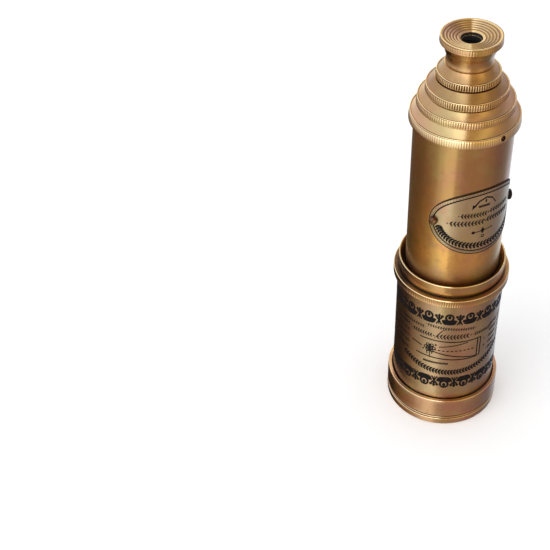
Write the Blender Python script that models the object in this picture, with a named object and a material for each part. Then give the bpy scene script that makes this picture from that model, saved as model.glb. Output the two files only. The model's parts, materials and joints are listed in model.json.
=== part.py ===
"""Three-draw brass spyglass with a sliding sunshade, closed and standing on its dust cap.

Every length below is in millimetres and MM turns it into Blender's metres. +Z is up, the
optical axis is the Z axis, and the origin is the centre of the dust cap's flat underside.
Azimuths are measured from -Y towards +X. The eyepiece is at the top, the objective at the
bottom. One empty on the optical axis carries the pieces of each body that moves as one.
"""

import math

import bmesh
import bpy
from mathutils import Matrix, Vector

MM = 0.001

# ---- Driving dimensions ----------------------------------------------------------------
CLOSED_LENGTH = 152.4
GAP = 0.3  # clearance that any two neighbouring solids keep
TUBE_WALL = 0.8

BARREL_RADIUS = 16.0
BARREL_WALL = 0.9
BARREL_FOOT = 11.3

SHADE_RADIUS = 18.4
SHADE_FOOT = 8.0
SHADE_TOP = 58.65
SHADE_FELT_FOOT = 46.5
SHADE_SPIGOT_FOOT = 55.5
SHADE_FLANGE_RADIUS = 19.92
SHADE_FLANGE_TOP = 61.84
SHADE_COLLAR_RADIUS = 18.29
SHADE_COLLAR_TOP = 66.86
END_RING_TOP = 12.13

CAP_RADIUS = 20.19
CAP_HEIGHT = 2.7  # of the disc, without its plug
CAP_PLUG_RADIUS = 15.9
CAP_PLUG_TOP = 6.2

# Rim radius, rim foot and rim top of the four stepped milled collars, from the barrel's
# end to the eyepiece's base.
BARREL_RIM = (17.66, 122.85, 125.94)
DRAW_1_RIM = (15.53, 128.56, 131.08)
DRAW_2_RIM = (13.06, 133.30, 135.80)
EYEPIECE_RIM = (10.06, 138.40, 140.68)

BUSH_WALL = 0.8
BUSH_LENGTH = 12.0
SPIGOT_LENGTH = 4.85  # the part of a collar that screws into its tube
COLLAR_LIP = 1.0  # the flat ring round the bore at the top of a collar's slope
DRAW_1_FOOT = 19.3
STOP_FLANGE = 2.7  # height of the flange that ends a draw's travel
STOP_SPIGOT = 3.0
BAFFLE = 0.8
FOOT_STEP = STOP_FLANGE + STOP_SPIGOT + GAP + BAFFLE + 2 * GAP  # next draw's foot above

EYEPIECE_TOP = 143.1  # where the eyepiece's base meets the eyecup
EYE_TUBE_RADIUS = 5.4
EYE_TUBE_BORE = 4.8
EYE_HOLE_RADIUS = 3.38

PLATE_AZIMUTH = 35.8  # degrees
PLATE_HEIGHT = 92.55
PLATE_HALF_WIDTH = 18.6  # along the barrel's curve
PLATE_HALF_HEIGHT = 13.0
PLATE_THICKNESS = 0.5
PLATE_SCREW_OFFSET = 16.9  # along the barrel's curve, from the plate's centre
GRUB_SCREW_AZIMUTH = 44.5  # degrees
GRUB_SCREW_HEIGHT = 124.4

SEGMENTS = 32  # sides of a large turned piece
SMALL_SEGMENTS = 24
SCREW_SEGMENTS = 12
CHAMFER = 0.2

BARREL_BORE = BARREL_RADIUS - BARREL_WALL
SHADE_BORE = SHADE_RADIUS - TUBE_WALL
DRAW_1_RADIUS = BARREL_BORE - BUSH_WALL - 2 * GAP
DRAW_2_RADIUS = DRAW_1_RADIUS - TUBE_WALL - BUSH_WALL - 2 * GAP
DRAW_3_RADIUS = DRAW_2_RADIUS - TUBE_WALL - BUSH_WALL - 2 * GAP
DRAW_2_FOOT = DRAW_1_FOOT + FOOT_STEP
DRAW_3_FOOT = DRAW_2_FOOT + FOOT_STEP


# ---- Scene and materials ---------------------------------------------------------------
def clear_scene():
    for obj in list(bpy.data.objects):
        bpy.data.objects.remove(obj)


def material(name, colour, roughness, metallic, transmission=0.0):
    made = bpy.data.materials.new(name)
    made.use_nodes = True
    shader = made.node_tree.nodes["Principled BSDF"]
    shader.inputs["Base Color"].default_value = (*colour, 1.0)
    shader.inputs["Roughness"].default_value = roughness
    shader.inputs["Metallic"].default_value = metallic
    shader.inputs["Transmission Weight"].default_value = transmission
    return made


def make_materials():
    return {
        "aged_brass": material("aged_brass", (0.50, 0.33, 0.13), 0.30, 1.0),
        "plate_brass": material("plate_brass", (0.55, 0.42, 0.22), 0.35, 1.0),
        "screw_brass": material("screw_brass", (0.30, 0.16, 0.09), 0.40, 1.0),
        "blackened_brass": material("blackened_brass", (0.02, 0.02, 0.02), 0.80, 0.0),
        "optical_glass": material("optical_glass", (0.95, 0.97, 0.96), 0.02, 0.0, 1.0),
        "felt": material("felt", (0.04, 0.03, 0.03), 0.95, 0.0),
    }


# ---- Modelling helpers -----------------------------------------------------------------
def add_object(name, mesh, finish, axis_empty):
    mesh.materials.append(finish)
    mesh.shade_smooth()
    mesh.set_sharp_from_angle(angle=math.radians(35))
    obj = bpy.data.objects.new(name, mesh)
    bpy.context.scene.collection.objects.link(obj)
    obj.parent = axis_empty
    return obj


def body_axis(name, height):
    """An empty on the optical axis, which carries the pieces of one moving body."""
    empty = bpy.data.objects.new(name + "_axis", None)
    empty.empty_display_size = 10 * MM
    bpy.context.scene.collection.objects.link(empty)
    empty.location = (0, 0, height * MM)
    return empty


def spun_mesh(name, profile, segments, base=0.0):
    """The solid of a profile of (radius, height) points turned about Z.

    A profile that keeps off the axis is a closed loop, and one that starts and ends on the
    axis is closed by the axis itself. Heights are measured from base.
    """
    mesh = bpy.data.meshes.new(name)
    bm = bmesh.new()
    points = [bm.verts.new((r * MM, 0, (z - base) * MM)) for r, z in profile]
    following = points[1:] + (points[:1] if min(r for r, _ in profile) > 0 else [])
    edges = [bm.edges.new(pair) for pair in zip(points, following)]
    bmesh.ops.spin(
        bm,
        geom=points + edges,
        cent=(0, 0, 0),
        axis=(0, 0, 1),
        angle=2 * math.pi,
        steps=segments,
        use_merge=True,
    )
    bmesh.ops.remove_doubles(bm, verts=bm.verts, dist=0.001 * MM)
    bmesh.ops.recalc_face_normals(bm, faces=bm.faces)
    bm.to_mesh(mesh)
    bm.free()
    return mesh


def turned(name, profile, finish, axis_empty, segments=SEGMENTS):
    base = axis_empty.location.z / MM
    mesh = spun_mesh(name, profile, segments, base)
    return add_object(name, mesh, finish, axis_empty)


def ring(name, inner, outer, foot, top, finish, axis_empty, segments=SEGMENTS):
    """A plain turned tube, ring or disc with a hole."""
    profile = [(inner, foot), (outer, foot), (outer, top), (inner, top)]
    return turned(name, profile, finish, axis_empty, segments)


def hidden_cutter(name, mesh, target, matrix):
    """Cuts mesh, placed by matrix in the target's parent space, out of target."""
    cutter = bpy.data.objects.new(name, mesh)
    bpy.context.scene.collection.objects.link(cutter)
    cutter.parent = target.parent
    cutter.matrix_local = matrix
    cutter.hide_render = True
    cutter.display_type = "WIRE"
    modifier = target.modifiers.new(name, "BOOLEAN")
    modifier.operation = "DIFFERENCE"
    modifier.object = cutter
    return cutter


def box_mesh(name, width, depth, height):
    mesh = bpy.data.meshes.new(name)
    bm = bmesh.new()
    bmesh.ops.create_cube(bm, size=1)
    bmesh.ops.scale(bm, vec=Vector((width, depth, height)) * MM, verts=bm.verts)
    bm.to_mesh(mesh)
    bm.free()
    return mesh


def radial(azimuth, radius, height):
    """A matrix whose Z points outwards from the optical axis, at that place."""
    a = math.radians(azimuth)
    out = Vector((math.sin(a), -math.cos(a), 0))
    along = Vector((math.cos(a), math.sin(a), 0))
    turn = Matrix((along, (0, 0, 1), out)).transposed().to_4x4()
    place = out * radius * MM + Vector((0, 0, height * MM))
    return Matrix.Translation(place) @ turn


def shoulder(rim_radius, rim_top, top_radius, top_height, hollow=0.2, steps=3):
    """Points of the slightly hollow slope from a collar's rim up to its top face."""
    points = []
    for i in range(1, steps):
        t = i / steps
        r = rim_radius + (top_radius - rim_radius) * t
        z = rim_top + (top_height - rim_top) * t - hollow * math.sin(math.pi * t)
        points.append((r, z))
    return points


def collar_profile(rim, bore, spigot_radius, spigot_foot, top_radius, top_height):
    """A collar: a spigot inside the tube, a chamfered milled rim, and a sloping shoulder."""
    rim_radius, rim_foot, rim_top = rim
    return [
        (bore, spigot_foot),
        (spigot_radius, spigot_foot),
        (spigot_radius, rim_foot),
        (rim_radius - CHAMFER, rim_foot),
        (rim_radius, rim_foot + CHAMFER),
        (rim_radius, rim_top - CHAMFER),
        (rim_radius - CHAMFER, rim_top),
        *shoulder(rim_radius - CHAMFER, rim_top, top_radius, top_height),
        (top_radius, top_height),
        (bore, top_height),
    ]


def slotted_bush(name, inner, outer, foot, finish, axis_empty):
    """The springy sleeve that grips a draw tube, with four slits up from its lower end."""
    top = foot + BUSH_LENGTH
    bush = ring(name, inner, outer, foot, top, finish, axis_empty)
    slit_length = 0.7 * BUSH_LENGTH
    slit_centre = foot + slit_length / 2 - 1 - axis_empty.location.z / MM
    for i in range(2):
        turn = Matrix.Rotation(math.radians(90 * i + 180 / SEGMENTS), 4, "Z")
        cutter = box_mesh(f"{name}_slit", 3 * outer, 0.9, slit_length + 2)
        place = Matrix.Translation((0, 0, slit_centre * MM)) @ turn
        hidden_cutter(f"{name}_slit_{i}", cutter, bush, place)
    return bush


# ---- Dust cap and sunshade -------------------------------------------------------------
def make_dust_cap(finishes):
    """A turned disc with a thin-walled plug that pushes into the end ring."""
    axis_empty = body_axis("dust_cap", 0)
    plug_bore = CAP_PLUG_RADIUS - 1.0
    recess = CAP_HEIGHT - 0.2
    profile = [
        (0, 0),
        (CAP_RADIUS - CHAMFER, 0),
        (CAP_RADIUS, CHAMFER),
        (CAP_RADIUS, CAP_HEIGHT - CHAMFER),
        (CAP_RADIUS - CHAMFER, CAP_HEIGHT),
        (CAP_PLUG_RADIUS, CAP_HEIGHT),
        (CAP_PLUG_RADIUS, CAP_PLUG_TOP),
        (plug_bore, CAP_PLUG_TOP),
        (plug_bore, recess),
        (0, recess),
    ]
    turned("dust_cap", profile, finishes["aged_brass"], axis_empty)


def make_end_ring(finish, axis_empty):
    """The heavy front ring: a socket for the sleeve, a lip for the cap and a thin groove."""
    lip_bore = CAP_PLUG_RADIUS + GAP
    socket = SHADE_RADIUS + GAP
    seat = SHADE_FOOT - GAP
    foot = CAP_HEIGHT + GAP
    groove = foot + 1.3
    edge = 0.5
    profile = [
        (lip_bore, foot),
        (CAP_RADIUS - CHAMFER, foot),
        (CAP_RADIUS, foot + CHAMFER),
        (CAP_RADIUS, groove - CHAMFER),
        (CAP_RADIUS - CHAMFER, groove),
        (CAP_RADIUS, groove + CHAMFER),
        (CAP_RADIUS, END_RING_TOP - edge),
        (CAP_RADIUS - edge, END_RING_TOP),
        (socket, END_RING_TOP),
        (socket, seat),
        (lip_bore, seat),
    ]
    turned("shade_end_ring", profile, finish, axis_empty)


def make_shade_flange(finish, axis_empty):
    """The narrow milled ring on the sleeve's rear end."""
    bore = SHADE_BORE - GAP
    foot = SHADE_TOP + GAP
    profile = [
        (bore, foot),
        (SHADE_FLANGE_RADIUS - CHAMFER, foot),
        (SHADE_FLANGE_RADIUS, foot + CHAMFER),
        (SHADE_FLANGE_RADIUS, SHADE_FLANGE_TOP - CHAMFER),
        (SHADE_FLANGE_RADIUS - CHAMFER, SHADE_FLANGE_TOP),
        (bore, SHADE_FLANGE_TOP),
    ]
    turned("shade_flange_ring", profile, finish, axis_empty)


def make_shade_collar(finish, axis_empty):
    """The collar that slides on the barrel: a spigot in the sleeve, a neck and a bevelled rim."""
    bore = BARREL_RADIUS + GAP
    spigot = SHADE_BORE - 2 * GAP
    foot = SHADE_FLANGE_TOP + GAP
    neck = SHADE_COLLAR_RADIUS - 0.5
    neck_top = foot + 0.66
    rim_foot = neck_top + 0.4
    profile = [
        (bore, SHADE_SPIGOT_FOOT),
        (spigot, SHADE_SPIGOT_FOOT),
        (spigot, foot),
        (neck, foot),
        (neck, neck_top),
        (SHADE_COLLAR_RADIUS, rim_foot),
        (SHADE_COLLAR_RADIUS, SHADE_COLLAR_TOP - CHAMFER),
        (SHADE_COLLAR_RADIUS - CHAMFER, SHADE_COLLAR_TOP),
        (bore, SHADE_COLLAR_TOP - 1.6),
    ]
    turned("shade_collar", profile, finish, axis_empty)


def make_sunshade(finishes):
    brass = finishes["aged_brass"]
    felt = finishes["felt"]
    axis_empty = body_axis("sunshade", SHADE_FOOT)
    ring("shade_sleeve", SHADE_BORE, SHADE_RADIUS, SHADE_FOOT, SHADE_TOP, brass, axis_empty)
    make_end_ring(brass, axis_empty)
    make_shade_flange(brass, axis_empty)
    make_shade_collar(brass, axis_empty)
    bore = BARREL_RADIUS + GAP
    outer = SHADE_BORE - GAP
    top = SHADE_SPIGOT_FOOT - GAP
    ring("shade_felt_lining", bore, outer, SHADE_FELT_FOOT, top, felt, axis_empty)


# ---- Barrel and objective --------------------------------------------------------------
def make_name_plate(finish, axis_empty):
    """An oval plate bent round the barrel. It is thickened outwards from its back face."""
    columns = 18
    inner = BARREL_RADIUS + GAP
    mesh = bpy.data.meshes.new("name_plate")
    bm = bmesh.new()

    def corner(t, side, radius):
        """A point at t, from -1 to 1 along the plate, on its lower or upper edge."""
        angle = math.radians(PLATE_AZIMUTH) + t * PLATE_HALF_WIDTH / BARREL_RADIUS
        rise = side * PLATE_HALF_HEIGHT * math.sqrt(max(0.0, 1 - t * t))
        x, y = radius * math.sin(angle), -radius * math.cos(angle)
        return bm.verts.new((x * MM, y * MM, (PLATE_HEIGHT + rise) * MM))

    stations = [math.sin(math.pi * (i / columns - 0.5)) for i in range(columns + 1)]
    for left, right in zip(stations, stations[1:]):
        outline = ((left, -1), (right, -1), (right, 1), (left, 1))
        bm.faces.new([corner(t, side, inner) for t, side in outline])
    bmesh.ops.remove_doubles(bm, verts=bm.verts, dist=0.001 * MM)
    made = bmesh.ops.extrude_face_region(bm, geom=bm.faces[:])
    grown = 1 + PLATE_THICKNESS / inner
    for item in made["geom"]:
        if isinstance(item, bmesh.types.BMVert):
            item.co.x *= grown
            item.co.y *= grown
    bmesh.ops.recalc_face_normals(bm, faces=bm.faces)
    bm.to_mesh(mesh)
    bm.free()
    return add_object("name_plate", mesh, finish, axis_empty)


def screw_mesh(name, head_radius, head_height, shank_radius, shank_length):
    """A domed screw whose head stands on the local XY plane, with its shank below it."""
    dome = [
        (head_radius * math.cos(a), 0.25 + (head_height - 0.25) * math.sin(a))
        for a in (math.radians(90 * i / 4) for i in range(4))
    ]
    profile = [
        (0, -shank_length),
        (shank_radius, -shank_length),
        (shank_radius, 0),
        (head_radius, 0),
        *dome,
        (0, head_height),
    ]
    return spun_mesh(name, profile, SCREW_SEGMENTS)


def make_plate_screws(finish, axis_empty, plate, barrel):
    """Two screws, one at each end of the plate, each with its hole and driver slot."""
    seat = BARREL_RADIUS + GAP + PLATE_THICKNESS + GAP
    tip = BARREL_BORE + 0.1
    shank_radius = 0.8
    reach = math.degrees(PLATE_SCREW_OFFSET / BARREL_RADIUS)
    base = axis_empty.location.z / MM
    for side, name in ((-1, "plate_screw_left"), (1, "plate_screw_right")):
        azimuth = PLATE_AZIMUTH + side * reach
        mesh = screw_mesh(name, 1.75, 1.2, shank_radius, seat - tip)
        screw = add_object(name, mesh, finish, axis_empty)
        screw.matrix_local = radial(azimuth, seat, PLATE_HEIGHT - base)
        slot = box_mesh(name + "_slot", 5.0, 0.45, 1.0)
        slot_place = radial(azimuth, seat + 1.2, PLATE_HEIGHT - base)
        hidden_cutter(name + "_slot", slot, screw, slot_place)
        for target in (plate, barrel):
            hole_radius = shank_radius + GAP
            hole_profile = [(0, -4), (hole_radius, -4), (hole_radius, 4), (0, 4)]
            hole = spun_mesh(f"{name}_hole", hole_profile, SCREW_SEGMENTS)
            hole_place = radial(azimuth, BARREL_RADIUS, PLATE_HEIGHT - base)
            hidden_cutter(f"{name}_hole_in_{target.name}", hole, target, hole_place)


def make_grub_screw(finish, axis_empty, collar):
    """The headless screw that locks the barrel's collar, sunk in the milled rim."""
    radius = 0.8
    outer_end = BARREL_RIM[0] - 0.35
    length = 2.2
    base = axis_empty.location.z / MM
    place = radial(GRUB_SCREW_AZIMUTH, outer_end, GRUB_SCREW_HEIGHT - base)
    profile = [(0, -length), (radius, -length), (radius, 0), (0, 0)]
    screw = add_object(
        "collar_grub_screw",
        spun_mesh("collar_grub_screw", profile, SCREW_SEGMENTS),
        finish,
        axis_empty,
    )
    screw.matrix_local = place
    hole_radius = radius + GAP
    hole_profile = [(0, -length - GAP), (hole_radius, -length - GAP), (hole_radius, 2), (0, 2)]
    hole = spun_mesh("grub_hole", hole_profile, SCREW_SEGMENTS)
    hidden_cutter("grub_hole", hole, collar, place)


def lens_profile(radius, edge_foot, edge_top, foot_sag, top_sag, steps=3):
    """A lens section from axis to axis. A positive sag bulges outwards, a negative hollows."""
    rim = [i / steps for i in range(steps + 1)]
    foot = [(radius * t, edge_foot - foot_sag * (1 - t * t)) for t in rim]
    top = [(radius * t, edge_top + top_sag * (1 - t * t)) for t in reversed(rim)]
    return foot + top


def make_objective(finishes, axis_empty):
    """The front lens pair on a shelf in its cell, held by a threaded ring."""
    foot, flange_top, top = 8.0, 11.0, 18.0
    bore, seat, flange = 12.6, 13.8, 17.1
    shelf = foot + 1.3
    spigot = BARREL_BORE - GAP
    cell = [
        (bore, foot),
        (flange, foot),
        (flange, flange_top),
        (spigot, flange_top),
        (spigot, top),
        (seat, top),
        (seat, shelf),
        (bore, shelf),
    ]
    turned("objective_cell", cell, finishes["aged_brass"], axis_empty)

    lens_radius = seat - GAP
    sag = 0.8
    glass = finishes["optical_glass"]
    crown_foot = shelf + GAP
    crown_top = crown_foot + 1.6
    crown = lens_profile(lens_radius, crown_foot, crown_top, sag, sag)
    turned("objective_crown_lens", crown, glass, axis_empty, SMALL_SEGMENTS)
    flint_foot = crown_top + GAP
    flint_top = flint_foot + 2.8
    flint = lens_profile(lens_radius, flint_foot, flint_top, -sag, 0)
    turned("objective_flint_lens", flint, glass, axis_empty, SMALL_SEGMENTS)
    black = finishes["blackened_brass"]
    ring_foot = flint_top + GAP
    ring_top = ring_foot + 2.8
    ring("objective_retaining_ring", 12.4, lens_radius, ring_foot, ring_top, black, axis_empty)


def make_barrel(finishes):
    brass = finishes["aged_brass"]
    axis_empty = body_axis("barrel", BARREL_FOOT)
    rim_foot = BARREL_RIM[1]
    tube = ring(
        "barrel_tube",
        BARREL_BORE,
        BARREL_RADIUS,
        BARREL_FOOT,
        rim_foot - GAP,
        brass,
        axis_empty,
    )
    bore = DRAW_1_RADIUS + GAP
    spigot = BARREL_BORE - GAP
    spigot_foot = rim_foot - SPIGOT_LENGTH
    top_height = DRAW_1_RIM[1] - GAP
    lip = bore + COLLAR_LIP
    profile = collar_profile(BARREL_RIM, bore, spigot, spigot_foot, lip, top_height)
    collar = turned("barrel_collar", profile, brass, axis_empty)
    bush_foot = spigot_foot - GAP - BUSH_LENGTH
    slotted_bush("barrel_slip_bush", bore, spigot, bush_foot, brass, axis_empty)
    make_grub_screw(finishes["screw_brass"], axis_empty, collar)

    plate = make_name_plate(finishes["plate_brass"], axis_empty)
    plate.data.transform(Matrix.Translation((0, 0, -BARREL_FOOT * MM)))
    make_plate_screws(finishes["screw_brass"], axis_empty, plate, tube)
    make_objective(finishes, axis_empty)


# ---- Draw tubes ------------------------------------------------------------------------
def stop_ring(name, outer, tube_bore, inner, foot, finish, axis_empty):
    """The ring screwed into a draw's inner end. Its flange meets the bush when pulled out."""
    spigot = tube_bore - GAP
    profile = [
        (inner, foot),
        (outer, foot),
        (outer, foot + STOP_FLANGE),
        (spigot, foot + STOP_FLANGE),
        (spigot, foot + STOP_FLANGE + STOP_SPIGOT),
        (inner, foot + STOP_FLANGE + STOP_SPIGOT),
    ]
    turned(name, profile, finish, axis_empty)


def make_outer_draw(number, radius, foot, parent_bore, rim, next_draw, finishes):
    """Draw 1 or draw 2: a tube with a stop ring, a baffle, a collar and a slip bush.

    next_draw is the radius of the draw inside it, the foot of the rim above it, and the
    baffle's bore.
    """
    next_radius, next_rim_foot, baffle_bore = next_draw
    name = f"draw_{number}"
    brass = finishes["aged_brass"]
    axis_empty = body_axis(name, foot)
    tube_bore = radius - TUBE_WALL
    tube_foot = foot + STOP_FLANGE + GAP
    tube_top = rim[1] - GAP
    ring(f"{name}_tube", tube_bore, radius, tube_foot, tube_top, brass, axis_empty)
    stop_outer = parent_bore - GAP
    stop_inner = tube_bore - 1.7
    stop_name = f"{name}_stop_ring"
    stop_ring(stop_name, stop_outer, tube_bore, stop_inner, foot, brass, axis_empty)

    baffle_foot = foot + STOP_FLANGE + STOP_SPIGOT + GAP
    ring(
        f"{name}_baffle",
        baffle_bore,
        tube_bore - GAP,
        baffle_foot,
        baffle_foot + BAFFLE,
        finishes["blackened_brass"],
        axis_empty,
        SMALL_SEGMENTS,
    )
    bore = next_radius + GAP
    spigot = tube_bore - GAP
    spigot_foot = rim[1] - SPIGOT_LENGTH
    top_height = next_rim_foot - GAP
    lip = bore + COLLAR_LIP
    profile = collar_profile(rim, bore, spigot, spigot_foot, lip, top_height)
    turned(f"{name}_collar", profile, brass, axis_empty)
    bush_foot = spigot_foot - GAP - BUSH_LENGTH
    slotted_bush(f"{name}_slip_bush", bore, spigot, bush_foot, brass, axis_empty)


def make_eyepiece_draw(finishes):
    """Draw 3, with the erecting lenses in their own tube at its inner end."""
    brass = finishes["aged_brass"]
    black = finishes["blackened_brass"]
    glass = finishes["optical_glass"]
    axis_empty = body_axis("draw_3", DRAW_3_FOOT)
    tube_bore = DRAW_3_RADIUS - TUBE_WALL
    tube_foot = DRAW_3_FOOT + STOP_FLANGE + GAP
    tube_top = EYEPIECE_RIM[1] - GAP
    ring("draw_3_tube", tube_bore, DRAW_3_RADIUS, tube_foot, tube_top, brass, axis_empty)
    stop_outer = DRAW_2_RADIUS - TUBE_WALL - GAP
    stop_ring("draw_3_stop_ring", stop_outer, tube_bore, 7.2, DRAW_3_FOOT, brass, axis_empty)

    outer = tube_bore - GAP
    inner = outer - TUBE_WALL
    foot = DRAW_3_FOOT + STOP_FLANGE + STOP_SPIGOT + GAP
    top = foot + 36
    lens_radius = inner - GAP
    small = SMALL_SEGMENTS
    ring("erector_tube", inner, outer, foot, top, black, axis_empty, small)
    ring_bore = lens_radius - 0.9
    ring("erector_front_ring", ring_bore, lens_radius, foot + 0.3, foot + 1.5, black, axis_empty, small)
    front = lens_profile(lens_radius, foot + 1.8, foot + 3.0, 0, 1.2)
    turned("erector_front_lens", front, glass, axis_empty, small)
    middle = (foot + top) / 2
    ring("erector_aperture", 2.4, lens_radius, middle, middle + BAFFLE, black, axis_empty, small)
    rear = lens_profile(lens_radius, top - 3.0, top - 1.8, 1.2, 0)
    turned("erector_rear_lens", rear, glass, axis_empty, small)
    ring("erector_rear_ring", ring_bore, lens_radius, top - 1.5, top - 0.3, black, axis_empty, small)


# ---- Eyepiece --------------------------------------------------------------------------
def make_eyecup(finish, axis_empty):
    """The flared cup: a waisted neck, a milled disc, and a dish that slopes to the hole."""
    neck_foot = EYEPIECE_TOP + GAP
    neck_radius = 7.45
    disc_radius = 9.6
    disc_foot = 150.2
    bore = EYE_TUBE_RADIUS + GAP
    neck = []
    for i in range(5):
        t = i / 4
        neck.append((neck_radius + 1.4 * t**2.2, neck_foot + (disc_foot - neck_foot) * t))
    profile = [
        (bore, neck_foot),
        *neck,
        (disc_radius - CHAMFER, disc_foot),
        (disc_radius, disc_foot + CHAMFER),
        (disc_radius, CLOSED_LENGTH - CHAMFER),
        (disc_radius - CHAMFER, CLOSED_LENGTH),
        (disc_radius - 0.6, CLOSED_LENGTH),
        (EYE_HOLE_RADIUS + 0.2, CLOSED_LENGTH - 1.3),
        (EYE_HOLE_RADIUS, CLOSED_LENGTH - 1.5),
        (EYE_HOLE_RADIUS, 148.6),
        (bore, 148.6),
    ]
    turned("eyecup", profile, finish, axis_empty, SMALL_SEGMENTS)


def make_eyepiece(finishes):
    brass = finishes["aged_brass"]
    black = finishes["blackened_brass"]
    glass = finishes["optical_glass"]
    axis_empty = body_axis("eyepiece", EYEPIECE_RIM[1])
    spigot = DRAW_3_RADIUS - TUBE_WALL - GAP
    spigot_foot = EYEPIECE_RIM[1] - 7.0
    bore = EYE_TUBE_RADIUS + GAP
    profile = collar_profile(EYEPIECE_RIM, bore, spigot, spigot_foot, 7.75, EYEPIECE_TOP)
    turned("eyepiece_base", profile, brass, axis_empty)
    make_eyecup(brass, axis_empty)

    tube_foot = 112.0
    tube_top = 148.3
    small = SMALL_SEGMENTS
    lens_radius = EYE_TUBE_BORE - GAP
    ring("eye_tube", EYE_TUBE_BORE, EYE_TUBE_RADIUS, tube_foot, tube_top, black, axis_empty, small)
    ring("field_lens_ring", 3.8, lens_radius, 112.3, 113.3, black, axis_empty, small)
    field = lens_profile(lens_radius, 114.5, 115.5, 0.85, 0)
    turned("field_lens", field, glass, axis_empty, small)
    ring("field_stop", 2.6, lens_radius, 128.0, 128.6, black, axis_empty, small)
    eye = lens_profile(lens_radius, 145.3, 146.4, 0.9, 0)
    turned("eye_lens", eye, glass, axis_empty, small)
    ring("eye_lens_ring", EYE_HOLE_RADIUS, lens_radius, 146.7, 147.9, black, axis_empty, small)


def main():
    clear_scene()
    finishes = make_materials()
    make_dust_cap(finishes)
    make_sunshade(finishes)
    make_barrel(finishes)
    next_1 = (DRAW_2_RADIUS, DRAW_2_RIM[1], 6.5)
    make_outer_draw(1, DRAW_1_RADIUS, DRAW_1_FOOT, BARREL_BORE, DRAW_1_RIM, next_1, finishes)
    draw_1_bore = DRAW_1_RADIUS - TUBE_WALL
    next_2 = (DRAW_3_RADIUS, EYEPIECE_RIM[1], 5.5)
    make_outer_draw(2, DRAW_2_RADIUS, DRAW_2_FOOT, draw_1_bore, DRAW_2_RIM, next_2, finishes)
    make_eyepiece_draw(finishes)
    make_eyepiece(finishes)


main()
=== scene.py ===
"""Looks of the three-draw brass spyglass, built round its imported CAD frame.

Lengths in this file are in millimetres unless a name says otherwise, and MM turns them into
Blender's metres. The telescope stands on the origin with its optical axis on Z. Azimuths run
from -Y towards +X. Turned pieces are lathed from profiles of (radius, height) corners whose
main sizes come from the frame, and the etched ornament is drawn flat and wrapped round them.
"""

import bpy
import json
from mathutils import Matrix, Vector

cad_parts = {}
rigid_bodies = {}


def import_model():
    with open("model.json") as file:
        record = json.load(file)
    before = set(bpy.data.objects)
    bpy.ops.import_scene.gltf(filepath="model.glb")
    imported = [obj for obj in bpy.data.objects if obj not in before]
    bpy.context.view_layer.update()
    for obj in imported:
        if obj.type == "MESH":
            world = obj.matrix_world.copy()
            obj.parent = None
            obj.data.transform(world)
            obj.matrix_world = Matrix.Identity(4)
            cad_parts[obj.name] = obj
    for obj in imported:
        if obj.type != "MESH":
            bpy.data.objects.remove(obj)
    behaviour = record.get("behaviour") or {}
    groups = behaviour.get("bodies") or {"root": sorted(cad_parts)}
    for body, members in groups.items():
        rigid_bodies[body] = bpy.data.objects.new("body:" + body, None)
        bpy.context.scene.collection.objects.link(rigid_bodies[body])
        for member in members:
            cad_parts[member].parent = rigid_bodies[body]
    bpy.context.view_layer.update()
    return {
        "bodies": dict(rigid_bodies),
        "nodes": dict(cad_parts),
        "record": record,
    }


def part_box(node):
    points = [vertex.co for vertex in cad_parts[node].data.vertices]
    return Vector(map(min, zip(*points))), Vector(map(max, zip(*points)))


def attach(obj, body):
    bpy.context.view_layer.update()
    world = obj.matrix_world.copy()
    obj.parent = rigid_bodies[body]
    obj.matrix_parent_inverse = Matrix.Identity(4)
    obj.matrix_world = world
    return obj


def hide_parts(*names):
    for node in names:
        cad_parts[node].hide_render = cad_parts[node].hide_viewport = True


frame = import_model()

import functools
import json
import math

import bmesh
import bpy
import numpy as np
from mathutils import Euler, Matrix, Vector

MM = 0.001
GAP = 0.3  # clearance between neighbouring CAD solids

# ---- Camera ----
CAMERA_PLACE = (0.0, -308.36, 332.25)
CAMERA_PITCH = 42.032  # degrees below the horizon
CAMERA_YAW = -11.504  # degrees, towards -X
CAMERA_ROLL = -2.560  # degrees
CAMERA_LENS = 76.24  # millimetres, on a sensor 36 wide

# ---- Shape ----
SEGMENTS = 192
SCREW_SEGMENTS = 40
GRUB_SEGMENTS = 32
FILLET = 0.13
WEAR_AND_LIGHT_REACH = 0.16  # how far the worn, painted-lit metal of an outer edge and the painted shade of an inner corner run back from it
MILLING_PITCH = 0.80
MILLING_STEPS = 6  # vertices round one tooth
MILLING_DEPTH = 0.24

BARREL_WALL = 0.9
DRAW_WALL = 0.8
SLEEVE_WALL = 0.8
THREAD_PLAY = 0.05  # between a screwed spigot and its tube
SLIDE_PLAY = 0.08  # between a collar and the tube that slides in it
LIP_WIDTH = 0.9  # the flat top of a collar, round its bore
# Each milled collar: its rim's height, its slope's hollow, its milling's depth, how far the
# rim leans in towards its top, and the wear_and_painted_light value on the rim and on the
# slope, which paints the rims as lit and the slopes of draw_2_collar and eyepiece_base as shaded.
COLLARS = {
    "barrel_collar": (3.09, 0.18, 0.05, 0.26, 0.52, 0.28),
    "draw_1_collar": (2.52, 0.18, 0.12, 0.18, 0.25, 0.22),
    "draw_2_collar": (2.50, 0.16, 0.18, 0.14, 0.10, -0.34),
    "eyepiece_base": (2.28, 0.28, MILLING_DEPTH, 0.10, 0.00, -0.27),
}

EYE_HOLE_RADIUS = 3.22
DISC_THICKNESS = 2.2
DISH_INNER_RADIUS = 4.0
DISH_DROP = 1.0
DISH_RIDGES = 5
DISH_RIDGE_HEIGHT = 0.24
NECK_RADIUS = 7.42
EYE_TUBE_ROOM = 4.0  # from the eyecup's top down to the end of the bore that holds the eye tube

END_RING_BORE = 16.2
FLANGE_BORE = 17.65
SLIDE_SPIGOT_RADIUS = 17.25
SLIDE_NECK_RADIUS = 17.6
CAP_PLUG_RADIUS = 15.9
CAP_PLUG_WALL = 1.0
CAP_SEAM = 2.7  # height of the joint between the dust cap and the end ring

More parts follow.
